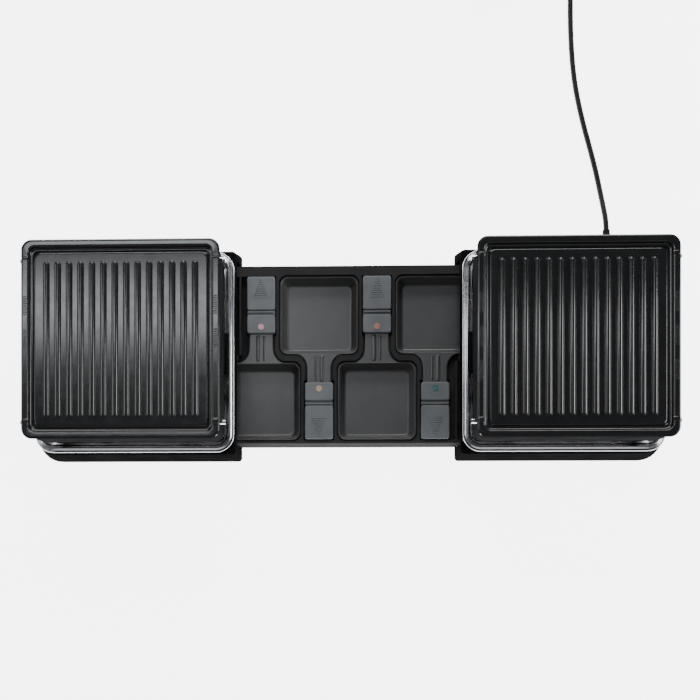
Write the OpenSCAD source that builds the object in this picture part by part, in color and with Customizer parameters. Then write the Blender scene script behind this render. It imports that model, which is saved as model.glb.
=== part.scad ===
// Double raclette grill. Two heated units, each with a ribbed grill plate, slide on a
// centre tray that stores four small pans. Pulled apart, the tray lies open between them.
// Millimetres. +X is to the right, +Y to the back, +Z up. The origin is on the table,
// under the middle of the tray.

/* [Arrangement] */
// From the middle of the tray to the middle of a unit, pulled apart
unit_x = 237; // [232:1:237]
// Height of the rubber feet below the bases
foot_h = 1.5; // [1:0.5:1.5]

/* [Base] */
// Height of the base's top edge above the table
base_top = 36; // [36:1:38]
// Wall thickness of the base
base_wall = 2.5; // [2:0.1:2.6]
// Half the depth of the base at its foot
base_foot_y = 118; // [117:1:120]
// Half the depth of the base at its top edge
base_top_y = 113; // [112.5:0.5:114]
// Radius of the base's two outer corners
base_corner = 28; // [24:1:30]

/* [Grill plate] */
// Outer side of the square plate
plate_w = 208; // [206:1:210]
// Height of the plate's rim above the table
plate_top = 118; // [117:1:120]
// Number of ribs
rib_count = 14; // [8:1:14]
// Distance from rib to rib
rib_pitch = 12; // [8:0.5:12]
// Width of a rib
rib_w = 6.5; // [4:0.5:7]
// Length of a rib
rib_l = 163; // [120:1:168]

/* [Heater] */
// Outer side of the square heater frame
frame_w = 204; // [203:1:204]
// Diameter of the rods that stick out of the heater frame
rod_d = 5.6; // [4:0.1:5.6]
// Diameter of the heating element's tube
element_d = 6.5; // [5:0.5:6.5]
// Outer side of the square chrome reflector
reflector_w = 222; // [220:1:222]

/* [Tray and pans] */
// Length of the centre tray
tray_l = 410; // [404:1:414]
// Height of the tray's rim above the table
tray_top = 24; // [23:1:25]
// Distance from pan to pan
pan_pitch = 65; // [65:0.5:66]
// Outer side of a square pan
pan_w = 88; // [84:1:88]
// Height of the stored pans' rims above the table
pan_rim = 22; // [20:1:22]
// Length of a pan's handle
handle_l = 63.5; // [50:0.5:64]

/* [Power cord] */
// Diameter of the cord
cord_d = 6.3; // [6:0.1:6.3]
// Radius of the stored coil's outer turns
coil_r = 38.5; // [38:0.5:39]

/* [Hidden] */
$fn = 48;
LEFT = -1;
RIGHT = 1;
eps = 0.01;

// base: a tapered shell, its inner end towards the tray
base_in_foot = -116;
base_in_top = -112;
base_out_foot = 118.5;
base_out_top = 113;
base_corner_in = 4;
deck_under = 31;
deck_top = 34;
well_w = 214;
well_corner = 18;
tunnel_y = 104;
tunnel_end = 90;
tunnel_wall = 1.5;
mouth_top = 30;
mouth_l = 8;
cover_gap = 0.2;
cover_top = foot_h + 1.5;
boss_d = 7;
screw_d = 3;
screw_l = 10;
screw_head_d = 5.5;
screw_head_h = 1;
hole_gap = 0.4;
hole_l = 5;
boss_at = [[-104, 109.6], [-104, -109.6], [107, 96], [107, -96]];
foot_at = [[-98, 98], [-98, -98], [86, 98], [86, -98]];
foot_d = 14;
foot_stem_d = 6;

// reflector: folded chromed sheet
sheet = 1;
reflector_top = 42;
bead_h = 1.2;
bead_in = 2.5;
bead_w = 4.5;
reflector_corner = 20;
tub_corner = 10;

// heater frame, its brackets and what hangs in it
frame_sheet = 1.5;
frame_foot = 64;
frame_top = 105.9;
bracket_y = 22;
bracket_top = 78;
bracket_sheet = 2;
bracket_foot_x = 90;
bracket_screw_at = [94.2, 18];
bracket_head_d = 5.6;
bracket_head_h = 1.8;
rod_y = 85;
rod_z = 102.2;
rod_end = 108.5;
bore_gap = 0.05;
element_z = 88;
element_bend = 12;
element_x = [-78, 44, 68];
element_y = [22, 66];
terminal_at = [95, 8];
terminal_z = 17;
terminal_x = [92.5, 108.5];
terminal_hole = [104, 20];
cutout_at = [102, -40];
cutout_d = 12;
cutout_h = 8;
strap_x = 45;
strap_w = 10;
strap_h = 1.5;

// grill plate
plate_gap = 0.2;
plate_corner = 11;
rim_corner = 7;
plateau_corner = 6;
rim_w = 8;
gutter_w = 6;
gutter_z = plate_top - 6;
plateau_z = plate_top - 4;
rib_top = plate_top - 1;
plate_under = plate_top - 8.5;

// tray pockets and pans; pans 1 and 3 lie in front with their handles to the back
tray_foot = 3.5;
tray_floor = 5;
tray_foot_y = 102.3;
tray_top_y = 99.5;
pocket_gap = 1.1;
pocket_corner = 9;
well_gap = 1.3;
handle_gap = 1;
bay_in = 151;
bay_half = 94;
bay_wall = 3;
bay_start = 52;
bay_floor = 15.5;
bay_rib = 22.5;
tip_reach = 51.5;
neck_w = 27;
pan_front_y = -52;
pan_back_y = 44.5;
pan_foot = 5.2;
pan_sheet = 1.2;
ledge_z = pan_rim - pan_sheet - 0.6;
pan_floor_w = 72;
pan_inner_w = pan_w - 6;
pan_corner = 8.5;
pan_inner_corner = 7;
pan_floor_corner = 5;
flare = [[27, -2], [18, 3], [neck_w / 2, 12]];
ridge_x = 3.4;
ridge_w = 3;
ridge_h = 0.8;
handle_w = 31.6;
handle_y = 76;
handle_end = handle_y + handle_l;
handle_foot = 14;
handle_top = 27;
handle_corner = 3;
tang_w = 20;
tang_l = 30;
groove_y = handle_y + 20.5;
groove_w = 5.5;
groove_h = 1.5;
marker_d = 6.8;
marker_y = handle_y + 7;
marker_h = 1.4;
marker_sunk = 1.2;

// switch, on the right unit's outer wall, which leans by this angle
switch_at = [116.35, -60, 15];
switch_lean = atan((base_out_foot - base_out_top) / (base_top - foot_h));
rocker_pivot = -2.2;
rocker_rest = 6;
rocker_pin_d = 2;
rocker_half = 4.3;

// cord: out of the back of the right unit, along the table, into a coil behind
exit_x = 53.5;
exit_y = 141;
exit_z = 11;
gland_in_y = 113;
gland_seat_y = 116.2;
gland_r = 6.2;
gland_core_r = 4.5;
lead_y = 108;
lead_x = 99;
terminal_y = 28;
cord_route = [
    [290.5, 141, 11], [289.8, 153, 10.4], [288.3, 165, 8.4], [286.6, 177, 6],
    [284.6, 189, 4.2], [282.2, 202, 3.3], [279, 216, 3.2], [275.2, 231, 3.2],
    [271.2, 246, 3.2], [267.2, 261, 3.2], [263.4, 277, 3.2], [260, 293, 3.2],
    [257.2, 309, 3.2], [255.2, 325, 3.2], [253.8, 341, 3.2], [252.8, 358, 3.2],
    [252.2, 375, 3.2], [252, 392, 3.2], [252, 409, 3.2], [252, 424, 3.3],
    [252, 438, 3.6], [252, 452, 3.9]
];
coil_at = [290.5, 460];
coil_foot = 0.7;
coil_step = 6.5;
plug_route = [
    [284, 421.5, 10.3], [272, 421.5, 10.3], [260, 421.8, 10.4], [248, 422.3, 10.9],
    [237, 423.2, 12.2], [226, 424.2, 14.2], [215, 425.2, 16.4], [205, 425.8, 18],
    [195, 426, 18.6]
];
plug_at = [195, 426, 18.6];
plug_r = 18.5;

BLACK = "#1c1c1e";
TRAY_GREY = "#3c3d3f";
CHROME = "#c9ccd0";
STEEL = "#8f9296";
COATING = "#26282b";
PAN_GREY = "#4a4c4f";
HANDLE_GREY = "#6f7377";
RUBBER = "#141414";
CERAMIC = "#e6e0d2";
MARKER_COLOURS = ["#e2b4be", "#d6be9f", "#c88c82", "#4b7878"];

function unit(v) = v / norm(v);
function between(low, high, z) = low + (high - low) * (z - foot_h) / (base_top - foot_h);

// ---- shared shapes ----

module rounded(w, d, r) {
    square([w - 2 * r, d], center = true);
    square([w, d - 2 * r], center = true);
    for (x = [-1, 1], y = [-1, 1])
        translate([x * (w / 2 - r), y * (d / 2 - r)]) circle(r);
}

module slab(w, d, r, z0, z1) {
    translate([0, 0, z0]) linear_extrude(z1 - z0) rounded(w, d, r);
}

module box(x, y, z) {
    translate([x[0], y[0], z[0]]) cube([x[1] - x[0], y[1] - y[0], z[1] - z[0]]);
}

module in_unit(side) {
    translate([side * unit_x, 0, 0]) mirror([side == LEFT ? 1 : 0, 0, 0]) children();
}

module in_pan(number) {
    front = number % 2 == 1;
    translate([(number - 2.5) * pan_pitch, front ? pan_front_y : pan_back_y, 0])
        rotate([0, 0, front ? 0 : 180]) children();
}

// moves what stands on +Z at the origin to stand at p along the direction d
module along(p, d) {
    x = abs(d[2]) > 0.9 ? [1, 0, 0] : [0, 0, 1];
    y = cross(d, x);
    multmatrix([
        [x[0], y[0], d[0], p[0]], [x[1], y[1], d[1], p[1]], [x[2], y[2], d[2], p[2]],
        [0, 0, 0, 1]
    ]) children();
}

// a round bar through the points, each turn a right angle of the given bend radius
module bent_bar(points, d, bend) {
    last = len(points) - 1;
    for (i = [0 : last - 1]) {
        way = unit(points[i + 1] - points[i]);
        from = points[i] + (i == 0 ? 0 : bend) * way;
        to = points[i + 1] - (i == last - 1 ? 0 : bend) * way;
        along(from, way) cylinder(d = d, h = norm(to - from));
    }
    for (i = [1 : last - 1]) {
        u = unit(points[i] - points[i - 1]);
        v = unit(points[i + 1] - points[i]);
        w = cross(-v, u);
        c = points[i] - bend * u + bend * v;
        multmatrix([
            [-v[0], u[0], w[0], c[0]], [-v[1], u[1], w[1], c[1]],
            [-v[2], u[2], w[2], c[2]], [0, 0, 0, 1]
        ]) rotate_extrude(angle = 90) translate([bend, 0]) circle(d = d);
    }
}

// one ring of a cord's tube, square to the way t
function ring(p, t, sides) =
    let (s = unit(cross(t, [0, 0, 1])), u = cross(s, t))
    [for (k = [0 : sides - 1]) p + cord_d / 2 * (cos(360 * k / sides) * s + sin(360 * k / sides) * u)];

module cord_tube(route) {
    sides = 12;
    last = len(route) - 1;
    rings = [for (i = [0 : last])
        ring(route[i], unit(route[min(i + 1, last)] - route[max(i - 1, 0)]), sides)];
    points = [for (r = rings) each r];
    skin = [for (i = [0 : last - 1], k = [0 : sides - 1])
        let (a = i * sides, b = a + sides, n = (k + 1) % sides)
        [a + k, a + n, b + n, b + k]];
    near = [for (k = [sides - 1 : -1 : 0]) k];
    far = [for (k = [0 : sides - 1]) last * sides + k];
    polyhedron(points, concat(skin, [near, far]), convexity = 6);
}

// ---- base ----

module base_outline(z, inset) {
    x_in = between(base_in_foot, base_in_top, z) + inset;
    x_out = between(base_out_foot, base_out_top, z) - inset;
    y = between(base_foot_y, base_top_y, z) - inset;
    r_out = base_corner - inset;
    r_in = max(base_corner_in - inset, 1);
    translate([x_in + r_in, -y]) square([x_out - r_out - x_in - r_in, 2 * y]);
    translate([x_in, r_in - y]) square([x_out - r_out - x_in, 2 * (y - r_in)]);
    translate([x_in, r_out - y]) square([x_out - x_in, 2 * (y - r_out)]);
    for (s = [-1, 1]) {
        translate([x_in + r_in, s * (y - r_in)]) circle(r_in, $fn = 32);
        translate([x_out - r_out, s * (y - r_out)]) circle(r_out, $fn = 32);
    }
}

module base_form(z0, z1, inset) {
    hull() {
        translate([0, 0, z0]) linear_extrude(eps) base_outline(z0, inset);
        translate([0, 0, z1 - eps]) linear_extrude(eps) base_outline(z1, inset);
    }
}

module base_shell(side) {
    color(BLACK) in_unit(side) difference() {
        union() {
            difference() {
                base_form(foot_h, base_top, 0);
                base_form(foot_h - eps, deck_under, base_wall);
                slab(well_w, well_w, well_corner, deck_top, base_top + 1);
            }
            for (s = [-1, 1])
                box([base_in_foot + 3, tunnel_end],
                    s > 0 ? [tunnel_y, tunnel_y + tunnel_wall] : [-tunnel_y - tunnel_wall, -tunnel_y],
                    [cover_top, deck_under]);
            box([tunnel_end, tunnel_end + tunnel_wall],
                [-tunnel_y - tunnel_wall, tunnel_y + tunnel_wall], [cover_top, deck_under]);
            for (p = boss_at)
                translate([p[0], p[1], cover_top]) cylinder(d = boss_d, h = deck_under - cover_top);
        }
        // tunnel mouth for the tray
        box([base_in_foot - 1, base_in_foot + mouth_l], [-tunnel_y, tunnel_y], [cover_top, mouth_top]);
        for (p = boss_at)
            translate([p[0], p[1], cover_top - eps]) cylinder(d = screw_d, h = screw_l);
        // bracket screws and the element's ends, through the deck
        for (x = [-1, 1], y = [-1, 1])
            translate([x * bracket_screw_at[0], y * bracket_screw_at[1], deck_under + 0.5])
                cylinder(d = screw_d, h = hole_l);
        for (y = [-1, 1])
            translate([terminal_at[0], y * terminal_at[1], deck_under - 1])
                cylinder(d = element_d + hole_gap, h = hole_l);
        if (side == RIGHT) {
            translate([exit_x, lead_y, exit_z]) rotate([-90, 0, 0]) cylinder(d = 2 * gland_core_r, h = 15);
            translate([exit_x, gland_seat_y, exit_z]) rotate([-90, 0, 0])
                cylinder(r = gland_r + 0.3, h = hole_l);
            in_switch() cube([12, 19, 12], center = true);
        }
    }
}

module bottom_cover(side) {
    color(BLACK) in_unit(side) difference() {
        translate([0, 0, foot_h]) linear_extrude(cover_top - foot_h)
            base_outline(cover_top, base_wall + cover_gap);
        for (p = boss_at)
            translate([p[0], p[1], 0]) cylinder(d = screw_d + hole_gap, h = screw_l);
        for (p = foot_at)
            translate([p[0], p[1], 0]) cylinder(d = foot_stem_d, h = screw_l);
    }
}

module rubber_feet(side) {
    color(RUBBER) in_unit(side) for (p = foot_at) translate([p[0], p[1], 0]) {
        cylinder(d = foot_d, h = foot_h);
        cylinder(d = foot_stem_d, h = cover_top);
    }
}

module cover_screws(side) {
    color(STEEL) in_unit(side) for (p = boss_at) translate([p[0], p[1], 0]) {
        translate([0, 0, foot_h - screw_head_h]) {
            cylinder(d = screw_head_d, h = screw_head_h);
            cylinder(d = screw_d, h = screw_l);
        }
    }
}

// ---- heater ----

module reflector(side) {
    outer = reflector_w;
    well = frame_w;
    bead = outer - 2 * bead_in;
    inside = bead - 2 * bead_w;
    color(CHROME) in_unit(side) difference() {
        union() {
            slab(outer, outer, reflector_corner, base_top + 0.2, reflector_top);
            slab(well, well, tub_corner, deck_top, reflector_top);
            slab(bead, bead, reflector_corner - bead_in, reflector_top, reflector_top + bead_h);
        }
        difference() {
            slab(outer - 2 * sheet, outer - 2 * sheet, reflector_corner - sheet, base_top,
                reflector_top - sheet);
            slab(well, well, tub_corner, base_top - 1, reflector_top);
        }
        slab(well - 2 * sheet, well - 2 * sheet, tub_corner - sheet, deck_top + sheet,
            reflector_top + 5);
        slab(inside, inside, reflector_corner - bead_in - bead_w, reflector_top,
            reflector_top + 5);
        for (x = [-1, 1], y = [-1, 1])
            translate([x * bracket_screw_at[0], y * bracket_screw_at[1], deck_top - 1])
                cylinder(d = screw_d + hole_gap, h = hole_l);
        for (y = [-1, 1])
            translate([terminal_at[0], y * terminal_at[1], deck_top - 1])
                cylinder(d = element_d + hole_gap, h = hole_l);
    }
}

module heater_frame(side) {
    inner = frame_w - 2 * frame_sheet;
    color(STEEL) in_unit(side) difference() {
        slab(frame_w, frame_w, tub_corner, frame_foot, frame_top);
        slab(inner, inner, tub_corner - frame_sheet, frame_foot - 1, frame_top + 1);
        for (y = [-rod_y, rod_y])
            translate([-frame_w, y, rod_z]) rotate([0, 90, 0])
                cylinder(d = rod_d + 2 * bore_gap, h = 2 * frame_w);
    }
}

module frame_brackets(side) {
    outer = frame_w / 2 - frame_sheet;
    foot = deck_top + sheet;
    color(STEEL) in_unit(side) for (x = [0, 180]) rotate([0, 0, x]) difference() {
        union() {
            box([outer - bracket_sheet, outer], [-bracket_y, bracket_y], [foot, bracket_top]);
            box([bracket_foot_x, outer], [-bracket_y, bracket_y], [foot, foot + frame_sheet]);
        }
        for (y = [-1, 1]) {
            translate([bracket_screw_at[0], y * bracket_screw_at[1], foot - 1])
                cylinder(d = screw_d + hole_gap, h = hole_l);
            translate([terminal_at[0], y * terminal_at[1], foot - 1])
                cylinder(d = element_d + hole_gap, h = hole_l);
        }
    }
}

module bracket_screws(side) {
    head = deck_top + sheet + frame_sheet;
    color(STEEL) in_unit(side) for (x = [-1, 1], y = [-1, 1])
        translate([x * bracket_screw_at[0], y * bracket_screw_at[1], 0]) {
            translate([0, 0, head]) cylinder(d = bracket_head_d, h = bracket_head_h);
            translate([0, 0, deck_under + 0.5]) cylinder(d = screw_d, h = head - deck_under);
        }
}

module rest_rods(side) {
    color(CHROME) in_unit(side) for (y = [-rod_y, rod_y])
        translate([-rod_end, y, rod_z]) rotate([0, 90, 0]) cylinder(d = rod_d, h = 2 * rod_end);
}

module element_straps(side) {
    reach = frame_w / 2 - frame_sheet;
    top = element_z - element_d / 2;
    color(STEEL) in_unit(side) for (x = [-strap_x, strap_x])
        box([x - strap_w / 2, x + strap_w / 2], [-reach, reach], [top - strap_h, top]);
}

module heating_element(side) {
    half = [
        [terminal_at[0], terminal_at[1], terminal_z], [terminal_at[0], terminal_at[1], element_z],
        [element_x[2], terminal_at[1], element_z], [element_x[2], element_y[1], element_z],
        [element_x[0], element_y[1], element_z], [element_x[0], element_y[0], element_z],
        [element_x[1], element_y[0], element_z], [element_x[1], 0, element_z]
    ];
    color(STEEL) in_unit(side) for (s = [0, 1])
        mirror([0, s, 0]) bent_bar(half, element_d, element_bend);
}

module terminal_block(side) {
    color(CERAMIC) in_unit(side) difference() {
        box(terminal_x, [-terminal_y, terminal_y], [cover_top, terminal_z]);
        for (s = [-1, 1])
            translate([terminal_hole[0], s * terminal_hole[1], terminal_z - 3])
                cylinder(d = 4, h = hole_l);
    }
}

module thermal_cutout(side) {
    color(CERAMIC) in_unit(side) translate([cutout_at[0], cutout_at[1], deck_under - cutout_h])
        cylinder(d = cutout_d, h = cutout_h);
}

// ---- grill plate ----

module grill_plate(side) {
    foot = frame_top + plate_gap;
    well = plate_w - 2 * rim_w;
    plateau = well - 2 * gutter_w;
    under = frame_w - 2 * frame_sheet;
    color(COATING) in_unit(side) {
        difference() {
            slab(plate_w, plate_w, plate_corner, foot, plate_top);
            slab(well, well, rim_corner, gutter_z, plate_top + 1);
            slab(under, under, tub_corner - frame_sheet, foot - 1, plate_under);
        }
        slab(plateau, plateau, plateau_corner, gutter_z, plateau_z);
        for (i = [0 : rib_count - 1])
            translate([(i - (rib_count - 1) / 2) * rib_pitch, 0, 0])
                slab(rib_w, rib_l, rib_w / 2 - eps, plateau_z, rib_top);
    }
}

// ---- tray and pans ----

// a well for the pan, a shallow recess for its rim and neck, and a deeper one for its handle
module pan_pocket(number) {
    recess_w = pan_w + 2 * pocket_gap;
    pocket_w = pan_w - 2 * well_gap;
    above = tray_top + 1;
    in_pan(number) {
        slab(pocket_w, pocket_w, pocket_corner, tray_floor, above);
        slab(recess_w, recess_w, pocket_corner, ledge_z, above);
        translate([0, 0, ledge_z]) linear_extrude(above - ledge_z) polygon([
            [-29, pan_w / 2 - 2], [-19, pan_w / 2 + 4.4], [-neck_w / 2 - 2, pan_w / 2 + 12],
            [-neck_w / 2 - 2, handle_y], [neck_w / 2 + 2, handle_y],
            [neck_w / 2 + 2, pan_w / 2 + 12], [19, pan_w / 2 + 4.4], [29, pan_w / 2 - 2]
        ]);
        box([-handle_w / 2 - handle_gap - 0.2, handle_w / 2 + handle_gap + 0.2],
            [handle_y - 3, handle_end + handle_gap], [handle_foot - handle_gap, above]);
        box([1 - handle_w / 2, handle_w / 2 - 1], [handle_y, handle_end - 2],
            [tray_foot - 1, handle_foot - 3]);
    }
}

module centre_tray() {
    pocket_half = pan_w / 2 + pocket_gap;
    bay_out = tray_l / 2 - bay_wall;
    above = tray_top + 1;
    color(TRAY_GREY) difference() {
        hull() {
            box([-tray_l / 2, tray_l / 2], [-tray_foot_y, tray_foot_y], [tray_foot, tray_foot + eps]);
            box([-tray_l / 2, tray_l / 2], [-tray_top_y, tray_top_y], [tray_top - eps, tray_top]);
        }
        for (n = [1 : 4]) pan_pocket(n);
        // outward of the outer pans the tray is open, so that they tip out from under the bases
        for (n = [1, 4]) in_pan(n) {
            box([-tip_reach, 0], [-pocket_half, pocket_half], [tray_floor, above]);
            box([-bay_rib - 4, -neck_w / 2 - 1], [pan_w / 2 - 4, bay_start], [bay_floor, above]);
            box([-bay_rib, -neck_w / 2 - 1], [bay_start - 1, handle_end + 0.5], [bay_floor, above]);
            box([-tip_reach, -bay_rib - 2], [bay_start, handle_end + 0.5], [bay_floor, above]);
            box([-tip_reach + 2, -bay_rib], [bay_start + 2, handle_end - 2],
                [tray_foot - 1, bay_floor - 2.5]);
        }
        for (s = [-1, 1])
            box(s < 0 ? [-bay_out, -bay_in] : [bay_in, bay_out], [-bay_half, bay_half],
                [tray_floor, above]);
    }
}

module pan(number) {
    top = pan_rim - pan_sheet;
    floor_w = pan_floor_w + 2 * pan_sheet;
    wall_w = pan_inner_w + 2 * pan_sheet;
    color(PAN_GREY) in_pan(number) {
        difference() {
            union() {
                hull() {
                    slab(floor_w, floor_w, pan_floor_corner + 1, pan_foot, pan_foot + eps);
                    slab(wall_w, wall_w, pan_inner_corner + 1, top - eps, top);
                }
                slab(pan_w, pan_w, pan_corner, top, pan_rim);
                translate([0, 0, top]) linear_extrude(pan_sheet) polygon([
                    [-flare[0][0], pan_w / 2 + flare[0][1]], [-flare[1][0], pan_w / 2 + flare[1][1]],
                    [-neck_w / 2, pan_w / 2 + flare[2][1]], [-neck_w / 2, handle_y],
                    [neck_w / 2, handle_y], [neck_w / 2, pan_w / 2 + flare[2][1]],
                    [flare[1][0], pan_w / 2 + flare[1][1]], [flare[0][0], pan_w / 2 + flare[0][1]]
                ]);
                for (x = [-ridge_x, ridge_x])
                    box([x - ridge_w / 2, x + ridge_w / 2], [pan_w / 2 + 2, handle_y - 1.5],
                        [top, pan_rim + ridge_h]);
                box([-tang_w / 2, tang_w / 2], [handle_y - 1, handle_y + tang_l], [top, pan_rim]);
            }
            hull() {
                slab(pan_floor_w, pan_floor_w, pan_floor_corner, pan_foot + pan_sheet,
                    pan_foot + pan_sheet + eps);
                slab(pan_inner_w, pan_inner_w, pan_inner_corner, pan_rim, pan_rim + eps);
            }
        }
    }
}

module pan_handle(number) {
    top = pan_rim - pan_sheet;
    color(HANDLE_GREY) in_pan(number) difference() {
        translate([0, handle_y + handle_l / 2, 0])
            slab(handle_w, handle_l, handle_corner, handle_foot, handle_top);
        box([-tang_w / 2, tang_w / 2], [handle_y - 1, handle_y + tang_l], [top, pan_rim]);
        box([-handle_w / 2 + 2, handle_w / 2 - 2], [groove_y, groove_y + groove_w],
            [handle_top - groove_h, handle_top + 1]);
        translate([0, marker_y, handle_top - marker_sunk]) cylinder(d = marker_d, h = 2 * marker_h);
    }
}

module marker(number) {
    color(MARKER_COLOURS[number - 1]) in_pan(number)
        translate([0, marker_y, handle_top - marker_sunk]) cylinder(d = marker_d, h = marker_h);
}

// ---- switch ----

module in_switch() {
    translate(switch_at) rotate([0, -switch_lean, 0]) children();
}

module switch_housing() {
    color(BLACK) in_unit(RIGHT) in_switch() difference() {
        union() {
            box([-18, 0], [-9.5, 9.5], [-6, 6]);
            box([0, 0.8], [-11, 11], [-7.5, 7.5]);
        }
        box([-5.5, 2], [-8, 8], [-4.6, 4.6]);
        translate([rocker_pivot, 0, 0])
            cylinder(d = rocker_pin_d + 2 * bore_gap, h = 11.2, center = true);
    }
}

module switch_rocker() {
    color(RUBBER) in_unit(RIGHT) in_switch() translate([rocker_pivot, 0, 0])
        rotate([0, 0, -rocker_rest]) {
            translate([0, 0, -rocker_half]) linear_extrude(2 * rocker_half) polygon([
                [-2, -4], [2.2, -7.4], [3.2, -7.4], [2.6, 0], [3.2, 7.4], [2.2, 7.4], [-2, 4]
            ]);
            cylinder(d = rocker_pin_d, h = 10.8, center = true);
        }
}

// ---- power cord ----

// the cord's cores, in a sleeve, from the gland to the terminals
module inner_lead() {
    color(RUBBER) in_unit(RIGHT) bent_bar([
        [exit_x, gland_in_y, exit_z], [exit_x, lead_y, exit_z], [lead_x, lead_y, exit_z],
        [lead_x, terminal_y, exit_z]
    ], 3.4, 4.5);
}

module cord_gland() {
    color(RUBBER) in_unit(RIGHT) translate([exit_x, 0, exit_z]) rotate([-90, 0, 0])
        rotate_extrude() polygon([
            [0, gland_in_y], [gland_core_r, gland_in_y], [gland_core_r, gland_seat_y],
            [gland_r, gland_seat_y],
            [gland_r, gland_seat_y + 2.2], [5.4, gland_seat_y + 3.6], [3.9, exit_y], [0, exit_y]
        ]);
}

module power_cord() {
    color(BLACK) cord_tube(cord_route);
}

module plug_lead() {
    color(BLACK) cord_tube(plug_route);
}

module cord_coil() {
    color(BLACK) translate([coil_at[0], coil_at[1], coil_foot]) rotate_extrude()
        translate([coil_r - coil_step - cord_d / 2, 0])
            square([coil_step + cord_d, coil_step + cord_d]);
}

module cord_tie() {
    band = 0.7;
    in_r = coil_r - coil_step - cord_d / 2;
    size = coil_step + cord_d;
    color(RUBBER) translate([coil_at[0], coil_at[1], coil_foot]) rotate([0, 0, 84])
        rotate_extrude(angle = 12) difference() {
            translate([in_r - band, 0.05 - coil_foot])
                square([size + 2 * band, size + coil_foot - 0.05 + band]);
            translate([in_r, 0]) square([size, size]);
        }
}

module plug_body() {
    color(BLACK) translate(plug_at) rotate([0, -90, 0]) rotate_extrude() polygon([
        [0, 0], [4, 0], [7, 20], [12, 26], [plug_r, 30], [plug_r, 55], [plug_r - 1, 56], [0, 56]
    ]);
}

module plug_pins() {
    color(STEEL) translate(plug_at) for (s = [-1, 1])
        translate([-56, s * 9.5, 0]) rotate([0, -90, 0]) cylinder(d = 4.8, h = 19);
}

centre_tray();
base_shell(LEFT);  // left_base_shell
bottom_cover(LEFT);  // left_bottom_cover
rubber_feet(LEFT);  // left_rubber_feet
cover_screws(LEFT);  // left_cover_screws
reflector(LEFT);  // left_reflector
heater_frame(LEFT);  // left_heater_frame
frame_brackets(LEFT);  // left_frame_brackets
bracket_screws(LEFT);  // left_bracket_screws
rest_rods(LEFT);  // left_rest_rods
element_straps(LEFT);  // left_element_straps
heating_element(LEFT);  // left_heating_element
terminal_block(LEFT);  // left_terminal_block
thermal_cutout(LEFT);  // left_thermal_cutout
grill_plate(LEFT);  // left_grill_plate
base_shell(RIGHT);  // right_base_shell
bottom_cover(RIGHT);  // right_bottom_cover
rubber_feet(RIGHT);  // right_rubber_feet
cover_screws(RIGHT);  // right_cover_screws
reflector(RIGHT);  // right_reflector
heater_frame(RIGHT);  // right_heater_frame
frame_brackets(RIGHT);  // right_frame_brackets
bracket_screws(RIGHT);  // right_bracket_screws
rest_rods(RIGHT);  // right_rest_rods
element_straps(RIGHT);  // right_element_straps
heating_element(RIGHT);  // right_heating_element
terminal_block(RIGHT);  // right_terminal_block
thermal_cutout(RIGHT);  // right_thermal_cutout
grill_plate(RIGHT);  // right_grill_plate
pan(1);  // pan_1
pan(2);  // pan_2
pan(3);  // pan_3
pan(4);  // pan_4
pan_handle(1);  // handle_1
pan_handle(2);  // handle_2
pan_handle(3);  // handle_3
pan_handle(4);  // handle_4
marker(1);  // marker_1
marker(2);  // marker_2
marker(3);  // marker_3
marker(4);  // marker_4
switch_housing();
switch_rocker();
inner_lead();
cord_gland();
power_cord();
cord_coil();
plug_lead();
cord_tie();
plug_body();
plug_pins();
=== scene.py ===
"""Double raclette grill: the looks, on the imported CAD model.

The pieces are drawn in millimetres and scaled once, in point(). The camera, the floor, the
lights and the materials' bump heights are in metres.
"""

import math

import bpy
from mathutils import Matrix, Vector


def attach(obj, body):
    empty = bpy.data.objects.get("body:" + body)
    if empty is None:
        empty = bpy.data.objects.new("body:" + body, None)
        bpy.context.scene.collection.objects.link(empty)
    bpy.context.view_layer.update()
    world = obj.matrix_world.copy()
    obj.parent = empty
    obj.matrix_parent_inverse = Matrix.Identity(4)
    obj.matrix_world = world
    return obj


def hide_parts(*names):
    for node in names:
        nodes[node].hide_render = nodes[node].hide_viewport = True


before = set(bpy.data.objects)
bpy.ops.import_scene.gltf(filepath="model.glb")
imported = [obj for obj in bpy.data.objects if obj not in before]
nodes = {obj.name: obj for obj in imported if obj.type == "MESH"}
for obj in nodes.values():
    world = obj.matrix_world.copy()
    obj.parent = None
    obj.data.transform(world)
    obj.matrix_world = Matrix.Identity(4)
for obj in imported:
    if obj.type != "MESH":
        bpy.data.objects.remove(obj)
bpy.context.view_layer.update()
scene = bpy.context.scene

MM = 0.001
UNIT_X = 237
SIDES = {"left": -1, "right": 1}
# Where each pan's middle lies, and 1 if its handle points to the back, or -1 to the front
PANS = {1: (-97.5, -52, 1), 2: (-32.5, 44.5, -1), 3: (32.5, -52, 1), 4: (97.5, 44.5, -1)}


# ---- camera: above, turned a little, the picture's window shifted to the back ----

camera_data = bpy.data.cameras.new("camera")
camera = bpy.data.objects.new("camera", camera_data)
scene.collection.objects.link(camera)
camera_data.lens = 54.1
camera_data.sensor_width = 36
camera_data.shift_x = 0.0475
camera_data.shift_y = 0.2943
camera.location = (0, -0.226, 1.204)
camera.rotation_euler = (0, math.radians(1.7), 0)
scene.camera = camera


# ---- materials ----

NOISE_ENDS = (0.3, 0.7)  # most of the noise lies between these values
RAMP_ENDS = (0.35, 0.65)  # narrower, so that both colours are reached
COLOUR_SCALE, SHEEN_SCALE, SHEEN_SPREAD, GRAIN_STRENGTH = 40, 160, 0.06, 0.35  # moulded()


def link(tree, source, target):
    tree.links.new(source, target)


def new_material(name, colour, roughness, metallic=0.0, **more):
    material = bpy.data.materials.new(name)
    material.use_nodes = True
    shader = material.node_tree.nodes["Principled BSDF"]
    shader.inputs["Base Color"].default_value = (*colour, 1)
    shader.inputs["Roughness"].default_value = roughness
    shader.inputs["Metallic"].default_value = metallic
    for socket, value in more.items():
        shader.inputs[socket.replace("_", " ")].default_value = value
    return material


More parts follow.
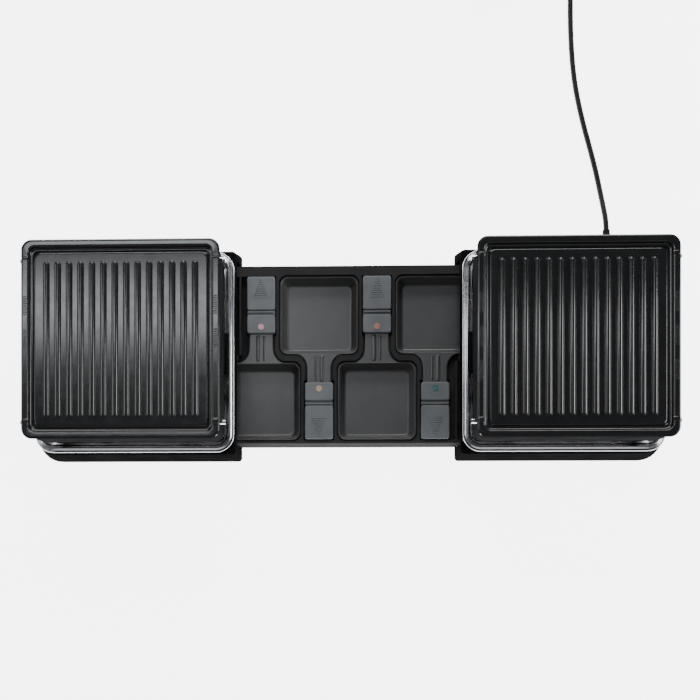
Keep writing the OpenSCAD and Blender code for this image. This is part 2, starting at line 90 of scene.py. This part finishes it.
def add_noise(material, scale, detail=2, stretch=(1, 1, 1)):
    """Noise in object space, so that it stays on a piece that moves."""
    tree = material.node_tree
    place = tree.nodes.new("ShaderNodeTexCoord")
    mapping = tree.nodes.new("ShaderNodeMapping")
    mapping.inputs["Scale"].default_value = stretch
    noise = tree.nodes.new("ShaderNodeTexNoise")
    noise.inputs["Scale"].default_value = scale
    noise.inputs["Detail"].default_value = detail
    link(tree, place.outputs["Object"], mapping.inputs["Vector"])
    link(tree, mapping.outputs["Vector"], noise.inputs["Vector"])
    return noise


def add_range(material, value, low, high):
    tree = material.node_tree
    node = tree.nodes.new("ShaderNodeMapRange")
    node.inputs["From Min"].default_value = NOISE_ENDS[0]
    node.inputs["From Max"].default_value = NOISE_ENDS[1]
    node.inputs["To Min"].default_value = low
    node.inputs["To Max"].default_value = high
    link(tree, value, node.inputs["Value"])
    return node.outputs["Result"]


def vary_roughness(material, scale, low, high, stretch=(1, 1, 1)):
    noise = add_noise(material, scale, 3, stretch)
    shader = material.node_tree.nodes["Principled BSDF"]
    link(material.node_tree, add_range(material, noise.outputs["Fac"], low, high),
         shader.inputs["Roughness"])


def vary_colour(material, scale, first, second):
    tree = material.node_tree
    noise = add_noise(material, scale)
    ramp = tree.nodes.new("ShaderNodeValToRGB")
    for element, position, colour in zip(ramp.color_ramp.elements, RAMP_ENDS, (first, second)):
        element.position = position
        element.color = (*colour, 1)
    link(tree, noise.outputs["Fac"], ramp.inputs["Fac"])
    link(tree, ramp.outputs["Color"], tree.nodes["Principled BSDF"].inputs["Base Color"])


def add_bump(material, scale, strength, distance):
    tree = material.node_tree
    noise = add_noise(material, scale)
    bump = tree.nodes.new("ShaderNodeBump")
    bump.inputs["Strength"].default_value = strength
    bump.inputs["Distance"].default_value = distance
    link(tree, noise.outputs["Fac"], bump.inputs["Height"])
    link(tree, bump.outputs["Normal"], tree.nodes["Principled BSDF"].inputs["Normal"])


def moulded(name, dark, light, roughness, grain=900, relief=0.00008, specular=0.5):
    """Fine-grained plastic. Specular 0 where walls would mirror the bright floor."""
    material = new_material(name, dark, roughness, Specular_IOR_Level=specular)
    vary_colour(material, COLOUR_SCALE, dark, light)
    vary_roughness(material, SHEEN_SCALE, roughness - SHEEN_SPREAD, roughness + SHEEN_SPREAD)
    add_bump(material, grain, GRAIN_STRENGTH, relief)
    return material


BLACK = moulded("base_plastic", (0.006, 0.006, 0.0065), (0.009, 0.009, 0.0095), 0.5,
                specular=0.0)
TRAY = moulded("tray_plastic", (0.042, 0.042, 0.043), (0.050, 0.050, 0.051), 0.45,
               specular=0.0)
HANDLE = moulded("handle_plastic", (0.17, 0.18, 0.19), (0.21, 0.22, 0.23), 0.46, 1400)
SWITCH = moulded("switch_plastic", (0.010, 0.010, 0.010), (0.014, 0.014, 0.014), 0.3, 600)
RUBBER = moulded("rubber_black", (0.010, 0.010, 0.010), (0.016, 0.016, 0.016), 0.75,
                 specular=0.1)
CORD = moulded("cord_black", (0.010, 0.010, 0.011), (0.015, 0.015, 0.016), 0.45, 700,
               specular=0.2)
PLUG = moulded("plug_plastic", (0.012, 0.012, 0.013), (0.017, 0.017, 0.018), 0.45,
               specular=0.05)

COATING = new_material("plate_coating", (0.009, 0.0095, 0.010), 0.15, IOR=1.8)
vary_colour(COATING, 60, (0.0075, 0.008, 0.0085), (0.0105, 0.011, 0.0115))
vary_roughness(COATING, 80, 0.14, 0.18)

PLATE_SIDE = moulded("plate_side", (0.008, 0.008, 0.0085), (0.011, 0.011, 0.0115), 0.6,
                     specular=0.0)
PAN_COATING = new_material("pan_coating", (0.06, 0.06, 0.061), 0.3, IOR=1.8)
vary_colour(PAN_COATING, 60, (0.056, 0.056, 0.057), (0.064, 0.064, 0.065))

CHROME = new_material("chrome_sheet", (0.78, 0.79, 0.81), 0.14, 1.0)
vary_roughness(CHROME, 60, 0.08, 0.2)
add_bump(CHROME, 25, 0.25, 0.0004)
CHROME_ROD = new_material("chrome_rod", (0.75, 0.76, 0.78), 0.14, 1.0)
vary_roughness(CHROME_ROD, 90, 0.1, 0.2, (0.2, 1, 1))
# Near black and matte: painted shade. The aluminised steel frame, brackets and straps lie in
# shade under the plate, and that shade is painted into their colour.
FRAME_STEEL_PAINTED_SHADE = new_material("frame_steel", (0.014, 0.014, 0.0145), 0.6, Specular_IOR_Level=0.0)
vary_roughness(FRAME_STEEL_PAINTED_SHADE, 120, 0.5, 0.66, (0.1, 1, 1))
vary_colour(FRAME_STEEL_PAINTED_SHADE, 30, (0.012, 0.012, 0.0125), (0.017, 0.017, 0.0175))
ELEMENT_STEEL = new_material("element_steel", (0.16, 0.15, 0.14), 0.5, 0.9)
vary_colour(ELEMENT_STEEL, 25, (0.12, 0.105, 0.095), (0.2, 0.19, 0.185))
SCREW_STEEL = new_material("screw_steel", (0.5, 0.5, 0.52), 0.3, 1.0)
vary_roughness(SCREW_STEEL, 300, 0.22, 0.36)
PLUG_METAL = new_material("plug_metal", (0.62, 0.6, 0.56), 0.22, 1.0)
vary_roughness(PLUG_METAL, 200, 0.16, 0.3, (0.2, 1, 1))
CERAMIC = new_material("ceramic", (0.72, 0.68, 0.6), 0.6)
vary_colour(CERAMIC, 80, (0.68, 0.64, 0.56), (0.76, 0.72, 0.64))
MARKER_COLOURS = {
    1: ((0.66, 0.36, 0.42), (0.78, 0.5, 0.55)),
    2: ((0.58, 0.42, 0.3), (0.7, 0.54, 0.42)),
    3: ((0.5, 0.22, 0.18), (0.6, 0.3, 0.25)),
    4: ((0.05, 0.14, 0.15), (0.09, 0.22, 0.22)),
}
MARKERS = {}
for number, (dark, light) in MARKER_COLOURS.items():
    MARKERS[number] = new_material(f"marker_{number}", dark, 0.5)
    vary_colour(MARKERS[number], 500, dark, light)


# ---- mesh helpers: rings of points in millimetres, joined into skins ----

SHARP_ANGLE = 50
BEVEL_ANGLE = 30


def point(p):
    return Vector((p[0] * MM, p[1] * MM, p[2] * MM))


def rounded_ring(half_x, half_y, r, z, steps=7, centre=(0, 0)):
    """A rounded rectangle, counter-clockwise from above. Rings of the same steps have the
    same number of points, whatever their size."""
    ring = []
    for k, (sx, sy) in enumerate([(1, 1), (-1, 1), (-1, -1), (1, -1)]):
        for i in range(steps + 1):
            a = math.radians(90 * k + 90 * i / steps)
            ring.append((centre[0] + sx * (half_x - r) + r * math.cos(a),
                         centre[1] + sy * (half_y - r) + r * math.sin(a), z))
    return ring


def raised(levels, long_x, long_y, steps, centre, roundness=0.9):
    """Rings of a small raised detail. Levels hold its half width and height, from its foot
    up. long_x and long_y make it longer each way."""
    return [rounded_ring(half + long_x, half + long_y, half * roundness, z, steps, centre)
            for half, z in levels]


def moved(ring, x, y, turn):
    """Carries a ring from a pan's own frame, where the handle points to +Y."""
    return [(x + turn * p[0], y + turn * p[1], p[2]) for p in ring]


class Skin:
    """Collects rings and faces for one mesh."""

    def __init__(self):
        self.points = []
        self.faces = []

    def ring(self, ring):
        start = len(self.points)
        self.points += ring
        return list(range(start, start + len(ring)))

    def band(self, low, high):
        n = len(low)
        for i in range(n):
            j = (i + 1) % n
            self.faces.append((low[i], low[j], high[j], high[i]))

    def loft(self, rings, start_cap=False, end_cap=False):
        """Bands between rings that run up the outside and over the top, so that the faces
        look outward. The caps close the first ring from below and the last from above."""
        indices = [self.ring(r) for r in rings]
        for low, high in zip(indices, indices[1:]):
            self.band(low, high)
        if start_cap:
            self.faces.append(tuple(reversed(indices[0])))
        if end_cap:
            self.faces.append(tuple(indices[-1]))
        return indices

    def build(self, name, material):
        mesh = bpy.data.meshes.new(name)
        mesh.from_pydata([point(p) for p in self.points], [], self.faces)
        mesh.validate()
        mesh.polygons.foreach_set("use_smooth", [True] * len(mesh.polygons))
        mesh.set_sharp_from_angle(angle=math.radians(SHARP_ANGLE))
        mesh.materials.append(material)
        piece = bpy.data.objects.new(name, mesh)
        scene.collection.objects.link(piece)
        return piece


def bevel(piece, width, segments=3):
    edge = piece.modifiers.new("edges", "BEVEL")
    edge.width = width * MM
    edge.segments = segments
    edge.limit_method = "ANGLE"
    edge.angle_limit = math.radians(BEVEL_ANGLE)
    edge.use_clamp_overlap = True


def finish_node(name, material, width=0.0, segments=2):
    node = nodes[name]
    node.data.materials.clear()
    node.data.materials.append(material)
    if width:
        bevel(node, width, segments)


# ---- power cord: out of the back, along the table, coil, plug ----

ROUTE = [
    (290.5, 141, 11), (289.8, 153, 10.4), (288.3, 165, 8.4), (286.6, 177, 6),
    (284.6, 189, 4.2), (282.2, 202, 3.3), (279, 216, 3.2), (275.2, 231, 3.2),
    (271.2, 246, 3.2), (267.2, 261, 3.2), (263.4, 277, 3.2), (260, 293, 3.2),
    (257.2, 309, 3.2), (255.2, 325, 3.2), (253.8, 341, 3.2), (252.8, 358, 3.2),
    (252.2, 375, 3.2), (252, 392, 3.2), (252, 409, 3.2), (252, 424, 3.3),
    (252, 438, 3.6), (252, 452, 3.9),
]
PLUG_ROUTE = [
    (272, 421.5, 10.3), (260, 421.8, 10.4), (248, 422.3, 10.9), (237, 423.2, 12.2),
    (226, 424.2, 14.2), (215, 425.2, 16.4), (205, 425.8, 18), (195, 426, 18.6),
]
CORD_D = 6.3
COIL = (290.5, 460)
OUTER_R, INNER_R = 38.5, 32
LOW_Z, HIGH_Z = 3.85, 10.35
# Degrees wound when the cord goes inward, steps up and comes outward again
GO_IN, GO_UP, GO_OUT = (300, 360), (600, 660), (900, 960)
COIL_STEP, COIL_POINTS = 15, 67


def eased(value, low, high):
    """0 below low, 1 above high, and a smooth rise between them."""
    t = min(max((value - low) / (high - low), 0), 1)
    return t * t * (3 - 2 * t)


def coil_point(wound):
    """The coil winds inward on the table, steps up, and unwinds outward on top."""
    r = OUTER_R - (OUTER_R - INNER_R) * (eased(wound, *GO_IN) - eased(wound, *GO_OUT))
    z = LOW_Z + (HIGH_Z - LOW_Z) * eased(wound, *GO_UP)
    a = math.radians(180 - wound)
    return (COIL[0] + r * math.cos(a), COIL[1] + r * math.sin(a), z)


def smooth_path(points, parts=4):
    """Catmull-Rom through the points."""
    path = []
    last = len(points) - 1
    for i in range(last):
        p0, p1 = Vector(points[max(i - 1, 0)]), Vector(points[i])
        p2, p3 = Vector(points[i + 1]), Vector(points[min(i + 2, last)])
        for k in range(parts):
            t = k / parts
            path.append(0.5 * (2 * p1 + (p2 - p0) * t + (2 * p0 - 5 * p1 + 4 * p2 - p3) * t * t
                               + (3 * p1 - p0 - 3 * p2 + p3) * t * t * t))
    path.append(Vector(points[last]))
    return path


coil_points = [coil_point(COIL_STEP * k) for k in range(COIL_POINTS)]
cord_points = smooth_path(ROUTE + coil_points + PLUG_ROUTE)
cord_curve = bpy.data.curves.new("cord", "CURVE")
cord_curve.dimensions = "3D"
cord_curve.bevel_depth = CORD_D / 2 * MM
cord_curve.bevel_resolution = 5
cord_curve.use_fill_caps = True
spline = cord_curve.splines.new("POLY")
spline.points.add(len(cord_points) - 1)
for spline_point, p in zip(spline.points, cord_points):
    spline_point.co = (*point(p), 1)
cord_curve.materials.append(CORD)
cord = bpy.data.objects.new("cord", cord_curve)
scene.collection.objects.link(cord)
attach(cord, "right_unit")
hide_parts("power_cord", "cord_coil", "plug_lead")
finish_node("plug_body", PLUG, 0.8, 3)
finish_node("plug_pins", PLUG_METAL, 0.6, 2)
finish_node("cord_tie", RUBBER, 0.3)
finish_node("cord_gland", RUBBER, 0.4)


# ---- grill plates ----

# Half width, corner radius and height: the flat underside, then down the skirt's inside, up
# its outside, over the rim and through the gutter to the flat top
PLATE_RINGS = [
    (100.5, 8.5, 109.5), (100.5, 8.5, 106.1), (102, 9.4, 106.1), (102.5, 9.7, 106.6),
    (103.95, 11, 115.9), (103.9, 10.9, 116.5), (103.5, 10.5, 117.1), (102.9, 10.1, 117.45),
    (102.1, 9.7, 117.6), (101.3, 9.3, 117.58), (98.2, 8.4, 117.42), (97.4, 8, 117.35),
    (96.8, 7.7, 117.1), (96.4, 7.3, 116.6), (95.7, 6.8, 113.4), (95.2, 6.5, 112.6),
    (94.4, 6.2, 112.15), (93.4, 6, 112.02), (92.4, 6, 112.25), (91.5, 6, 112.8),
    (90.9, 6, 113.45), (90.4, 6, 113.88), (89.8, 5.9, 114), (88.9, 5.4, 114),
]
SIDE_OUT, SIDE_TOP = 101, 117  # the skirt: faces farther out than this, and lower
RIB_COUNT, RIB_PITCH, RIB_W, RIB_L = 14, 12, 6.5, 163
RIB_FOOT = ((0.4, 113.98), (0.1, 114.08))  # how far the fillet reaches out, and its height
RIB_BASE, RIB_RISE, RIB_RINGS, RIB_ANGLE = 114.3, 2.7, 10, 9  # a half ellipse, in rings
TICK_ROWS = {"back": 35, "middle": 0, "front": -35}
TICK_X, TICK_PITCH, TICKS_EACH_WAY = 100, 2.3, 4
LONG_TICK, SHORT_TICK = 2.1, 1.2
TICK_LEVELS = ((0.7, 117.4), (0.5, 117.8), (0.2, 117.95))
BUMP_X, BUMP_Y, BUMP_LONG = 99.7, 85, 1.6
BUMP_LEVELS = ((2.4, 117.38), (2, 117.7), (1.4, 117.9), (0.6, 118))


def add_ribs(skin):
    levels = [(RIB_W / 2 + out, z) for out, z in RIB_FOOT]
    for k in range(RIB_RINGS):
        a = math.radians(RIB_ANGLE * k)
        levels.append((RIB_W / 2 * math.cos(a), RIB_BASE + RIB_RISE * math.sin(a)))
    for i in range(RIB_COUNT):
        x = (i - (RIB_COUNT - 1) / 2) * RIB_PITCH
        skin.loft(raised(levels, 0, (RIB_L - RIB_W) / 2, 6, (x, 0), 1), end_cap=True)


def add_ticks(skin):
    """Rows of plain ticks on the rim's two sides."""
    for middle in TICK_ROWS.values():
        for sx in (-1, 1):
            for k in range(-TICKS_EACH_WAY, TICKS_EACH_WAY + 1):
                length = LONG_TICK if k % 2 else SHORT_TICK
                centre = (sx * TICK_X, middle + TICK_PITCH * k)
                skin.loft(raised(TICK_LEVELS, length, 0, 3, centre), end_cap=True)


def add_bumps(skin):
    for sx in (-1, 1):
        for sy in (-1, 1):
            centre = (sx * BUMP_X, sy * BUMP_Y)
            skin.loft(raised(BUMP_LEVELS, BUMP_LONG, 0, 4, centre), end_cap=True)


def grill_plate(side):
    skin = Skin()
    rings = [rounded_ring(h, h, r, z) for h, r, z in PLATE_RINGS]
    skin.loft(rings, end_cap=True)
    skin.faces.append(tuple(skin.ring(rings[0])))  # the underside, on points of its own
    add_ribs(skin)
    add_ticks(skin)
    add_bumps(skin)
    piece = skin.build(f"{side}_plate", COATING)
    piece.data.materials.append(PLATE_SIDE)
    for face in piece.data.polygons:
        across = max(abs(face.center.x), abs(face.center.y))
        if across > SIDE_OUT * MM and face.center.z < SIDE_TOP * MM:
            face.material_index = 1
    piece.location.x = SIDES[side] * UNIT_X * MM
    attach(piece, f"{side}_plate")
    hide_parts(f"{side}_grill_plate")


# ---- chrome reflectors ----

# From the rim's foot over its lip, a groove and a bead to the dish's floor
REFLECTOR_RINGS = [
    (109, 18.4, 36.2), (110.2, 19.4, 36.2), (111, 20, 41.3), (110.7, 19.7, 41.9),
    (110.1, 19.1, 42.1), (109.5, 18.5, 41.9), (109.1, 18.1, 41.65), (108.7, 17.8, 41.7),
    (108.2, 17.4, 42), (107.4, 16.7, 42.5), (106.6, 16, 42.95), (106.1, 15.5, 43.15),
    (105.6, 15, 43.2), (105.1, 14.5, 43), (104.7, 14.1, 42.5), (104.3, 13.8, 41.9),
    (103.8, 13.2, 41.65), (102.8, 12, 41.6), (101.9, 10.6, 41.3), (101.2, 9.8, 40.4),
    (101, 9, 39), (101, 9, 36.6), (100.2, 8.4, 35.4), (98.8, 7.4, 35), (97.8, 6.8, 35),
]


def reflector(side):
    skin = Skin()
    rings = [rounded_ring(h, h, r, z, 9) for h, r, z in REFLECTOR_RINGS]
    skin.loft(rings, end_cap=True)
    piece = skin.build(f"{side}_tray", CHROME)
    piece.location.x = SIDES[side] * UNIT_X * MM
    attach(piece, f"{side}_unit")
    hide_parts(f"{side}_reflector")


for side in SIDES:
    grill_plate(side)
    reflector(side)


# ---- raclette pans, each in a frame of its own with the handle towards +Y ----

# Up the outside, over the rounded rim and down the inside to the pan's floor
PAN_RINGS = [
    (36.2, 5.8, 5.2), (37.2, 6.4, 5.5), (42, 8.4, 20.6), (43.6, 8.2, 20.8), (44, 8.5, 21),
    (43.92, 8.4, 21.3), (43.7, 8.3, 21.6), (43.4, 8.1, 21.82), (43.05, 7.8, 21.95),
    (42.7, 7.6, 22), (42.35, 7.4, 21.85), (42.1, 7.2, 21.3), (37.3, 5.8, 7.7),
    (36.95, 5.6, 7), (36.3, 5.2, 6.55), (35.4, 4.6, 6.4), (34.6, 4.2, 6.4),
]
# The neck's right edge, from the rim to its end under the handle
NECK_EDGE = [
    (27, 42.9), (22, 44.6), (18.2, 47.4), (15.6, 51), (14.1, 55.2), (13.5, 60), (13.5, 76),
]
NECK_LEVELS = ((20.8, 0), (21.5, 0), (21.8, 0.3), (21.9, 0.8), (21.9, 1.6))  # height, inset
RIDGES = ((-3.3, 2.6, 22.8), (3.4, 1.5, 22.75))  # where, half width, top
RIDGE_Y, RIDGE_LONG, RIDGE_FOOT = 59.6, 12.5, 21.85
RIDGE_RINGS, RIDGE_ANGLE, RIDGE_CREST = 6, 18, 0.15


def neck_outline(z, inset):
    """From the rim's right to its left, round the neck's end."""
    right = [(x - inset, y, z) for x, y in NECK_EDGE]
    return right + [(-x, y, z) for x, y, _ in reversed(right)]


def pan(number):
    x, y, turn = PANS[number]
    skin = Skin()
    skin.loft([moved(rounded_ring(h, h, r, z), x, y, turn) for h, r, z in PAN_RINGS],
              start_cap=True, end_cap=True)
    skin.loft([moved(neck_outline(z, inset), x, y, turn) for z, inset in NECK_LEVELS],
              start_cap=True, end_cap=True)
    for ridge_x, wide, top in RIDGES:
        levels = []
        for k in range(RIDGE_RINGS):
            a = math.radians(RIDGE_ANGLE * k)
            levels.append((max(wide * math.cos(a), RIDGE_CREST),
                           RIDGE_FOOT + (top - RIDGE_FOOT) * math.sin(a)))
        rings = raised(levels, 0, RIDGE_LONG, 4, (ridge_x, RIDGE_Y), 0.95)
        skin.loft([moved(ring, x, y, turn) for ring in rings], end_cap=True)
    piece = skin.build(f"raclette_pan_{number}", PAN_COATING)
    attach(piece, f"raclette_pan_{number}")
    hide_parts(f"pan_{number}")


# ---- pan handles, in the pans' frames ----

HANDLE_HALF_W, HANDLE_CORNER, LEAST_CORNER = 15.8, 2.4, 0.4
HANDLE_PARTS = ((76, 96.5, 26.5), (96, 102.6, 23.6), (102, 139.5, 26.5))  # from, to, top
# Inset and height of the edges; the upper ones are counted from the part's top
LOWER_EDGE = ((0.9, 14), (0, 14.9))
UPPER_EDGE = ((0, -0.9), (0.25, -0.3), (0.8, 0), (1.4, 0))
BAR_Y, BAR_LONG = 99.8, 14.4
BAR_LEVELS = ((0.95, 23.5), (0.85, 25.6), (0.5, 25.9), (0.2, 25.95))
LINE_COUNT, LINE_Y, LINE_PITCH = 9, 116, 2.5
LONGEST_LINE, LINE_SHORTER = 8.1, 0.9  # the lines make a triangle
LINE_LEVELS = ((0.6, 26.45), (0.5, 26.85), (0.2, 27))


def handle_block(start, end, top):
    """Rings of one block of the handle, with softened edges."""
    centre = (0, (start + end) / 2)
    half = (end - start) / 2
    edges = LOWER_EDGE + tuple((inset, top + z) for inset, z in UPPER_EDGE)
    return [rounded_ring(HANDLE_HALF_W - inset, half - inset,
                         max(HANDLE_CORNER - inset, LEAST_CORNER), z, 5, centre)
            for inset, z in edges if half > inset]


def handle(number):
    x, y, turn = PANS[number]
    skin = Skin()
    for start, end, top in HANDLE_PARTS:
        rings = handle_block(start, end, top)
        skin.loft([moved(ring, x, y, turn) for ring in rings], start_cap=True, end_cap=True)
    details = [raised(BAR_LEVELS, BAR_LONG, 0, 4, (0, BAR_Y))]
    for k in range(LINE_COUNT):
        details.append(raised(LINE_LEVELS, LONGEST_LINE - LINE_SHORTER * k, 0, 3,
                              (0, LINE_Y + LINE_PITCH * k)))
    for rings in details:
        skin.loft([moved(ring, x, y, turn) for ring in rings], end_cap=True)
    piece = skin.build(f"grip_{number}", HANDLE)
    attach(piece, f"raclette_pan_{number}")
    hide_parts(f"handle_{number}")


for number in PANS:
    pan(number)
    handle(number)
    finish_node(f"marker_{number}", MARKERS[number], 0.3, 3)


# ---- CAD nodes that keep their shape ----

UNIT_NODES = {  # material, bevel width and segments
    "base_shell": (BLACK, 1.2, 3),
    "bottom_cover": (BLACK, 0.4),
    "rubber_feet": (RUBBER, 0.4),
    "cover_screws": (SCREW_STEEL, 0.2),
    "heater_frame": (FRAME_STEEL_PAINTED_SHADE, 0.4),
    "frame_brackets": (FRAME_STEEL_PAINTED_SHADE, 0.4),
    "bracket_screws": (SCREW_STEEL, 0.3),
    "rest_rods": (CHROME_ROD, 0.8, 3),
    "element_straps": (FRAME_STEEL_PAINTED_SHADE, 0.2),
    "heating_element": (ELEMENT_STEEL,),
    "terminal_block": (CERAMIC, 0.6),
    "thermal_cutout": (CERAMIC, 0.6),
}

finish_node("centre_tray", TRAY, 0.9, 3)
for side in SIDES:
    for part, finish in UNIT_NODES.items():
        finish_node(f"{side}_{part}", *finish)
finish_node("switch_housing", SWITCH, 0.5, 3)
finish_node("switch_rocker", SWITCH, 0.4, 3)
finish_node("inner_lead", RUBBER)


# ---- floor and light, in metres ----

FLOOR_HALF = 6
SOFT_STRIP = (2.0, 0.5)  # behind and in front
SOFT_SIDE = (0.9, 0.45)
FLOOR = new_material("paper", (0.8, 0.8, 0.8), 0.9, Emission_Color=(1, 1, 1, 1),
                     Emission_Strength=5.5)
floor_mesh = bpy.data.meshes.new("floor")
floor_corners = [(sx * FLOOR_HALF, sy * FLOOR_HALF, 0)
                 for sx, sy in ((-1, -1), (1, -1), (1, 1), (-1, 1))]
floor_mesh.from_pydata(floor_corners, [], [(0, 1, 2, 3)])
floor_mesh.materials.append(FLOOR)
floor = bpy.data.objects.new("floor", floor_mesh)
scene.collection.objects.link(floor)


def softbox(name, at, aim, size, radiance, colour=(1, 1, 1)):
    """A rectangular light of a given radiance. With no aim it faces straight down."""
    data = bpy.data.lights.new(name, "AREA")
    data.shape = "RECTANGLE"
    data.size, data.size_y = size
    data.energy = radiance * math.pi * size[0] * size[1]
    data.color = colour
    light = bpy.data.objects.new(name, data)
    light.location = at
    if aim:
        light.rotation_euler = (Vector(aim) - Vector(at)).to_track_quat("-Z", "Y").to_euler()
    scene.collection.objects.link(light)


softbox("overhead_left", (-0.61, 0.425, 1.75), None, (0.92, 0.17), 5, (0.92, 0.97, 1))
softbox("overhead_middle", (0, 0.3, 1.7), None, (0.46, 0.5), 0.9, (0.96, 0.98, 1))
softbox("side_right", (1.25, -0.1, 0.75), (0.1, 0, 0.05), SOFT_SIDE, 8)
softbox("side_left", (-1.3, 0, 0.75), (-0.1, 0, 0.05), SOFT_SIDE, 3)
softbox("back", (0, 1.7, 1.3), (0, 0, 0.05), SOFT_STRIP, 8)
softbox("front", (0, -1.7, 1.3), (0, 0, 0.05), SOFT_STRIP, 0.5)

world = bpy.data.worlds.new("studio")
world.use_nodes = True
tree = world.node_tree
direction = tree.nodes.new("ShaderNodeTexCoord")
parts = tree.nodes.new("ShaderNodeSeparateXYZ")
sky = tree.nodes.new("ShaderNodeValToRGB")
sky.color_ramp.elements[0].position = 0.0
sky.color_ramp.elements[0].color = (0.14, 0.142, 0.145, 1)
sky.color_ramp.elements[1].position = 0.75
sky.color_ramp.elements[1].color = (0.03, 0.031, 0.033, 1)
middle = sky.color_ramp.elements.new(0.35)
middle.color = (0.1, 0.102, 0.105, 1)
link(tree, direction.outputs["Generated"], parts.inputs["Vector"])
link(tree, parts.outputs["Z"], sky.inputs["Fac"])
link(tree, sky.outputs["Color"], tree.nodes["Background"].inputs["Color"])
tree.nodes["Background"].inputs["Strength"].default_value = 2.4
scene.world = world
